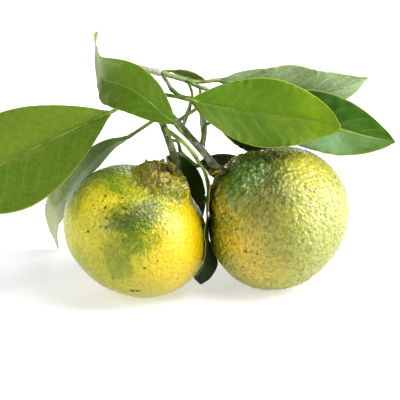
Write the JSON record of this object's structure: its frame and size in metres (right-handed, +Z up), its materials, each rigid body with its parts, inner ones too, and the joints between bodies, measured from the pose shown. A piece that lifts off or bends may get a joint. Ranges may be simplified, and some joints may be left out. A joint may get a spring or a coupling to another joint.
{
  "type": "mandarin sprig",
  "caption": "Two ripening mandarins side by side on a cut leafy twig: flattened dimpled fruits with star-shaped calyxes, woody stems and pointed oval leaves, resting on a surface.",
  "frame": {"origin": "centre of the flat spot that the right-hand mandarin rests on", "axes": "+X from the left-hand mandarin towards the right-hand one, +Y away from the viewer, +Z up from the surface"},
  "size_m": [0.1975, 0.085, 0.1155],
  "materials": {
    "skin": "waxy pitted peel, yellow with green patches",
    "calyx": "dry matt",
    "bark": "matt grey-green bark",
    "green_twig": "satin green bark",
    "petiole": "satin green",
    "blade": "glossy upper side, matt pale underside"
  },
  "bodies": {
    "root": {"mandarin_right": "skin", "mandarin_left": "skin", "calyx_right": "calyx", "calyx_left": "calyx", "twig_main": "bark", "twig_leafy": "green_twig", "twig_fruiting": "bark", "fruit_stem_right": "bark", "fruit_stem_left": "bark", "twig_spur": "green_twig", "twig_back": "green_twig", "petiole_curled_top": "petiole", "petiole_front_right": "petiole", "petiole_far_right": "petiole", "petiole_back_right": "petiole", "petiole_wide_left": "petiole", "petiole_drooping_left": "petiole", "petiole_between_fruits": "petiole", "petiole_behind_right": "petiole", "petiole_low_back": "petiole", "petiole_gap_back": "petiole", "petiole_upper_back": "petiole", "petiole_narrow_top": "petiole", "petiole_small_hanging": "petiole", "petiole_hanging": "petiole", "leaf_curled_top": "blade", "leaf_front_right": "blade", "leaf_far_right": "blade", "leaf_back_right": "blade", "leaf_wide_left": "blade", "leaf_drooping_left": "blade", "leaf_between_fruits": "blade", "leaf_behind_right": "blade", "leaf_low_back": "blade", "leaf_gap_back": "blade", "leaf_upper_back": "blade", "leaf_narrow_top": "blade", "leaf_small_hanging": "blade", "leaf_hanging": "blade"}
  },
  "joints": []
}
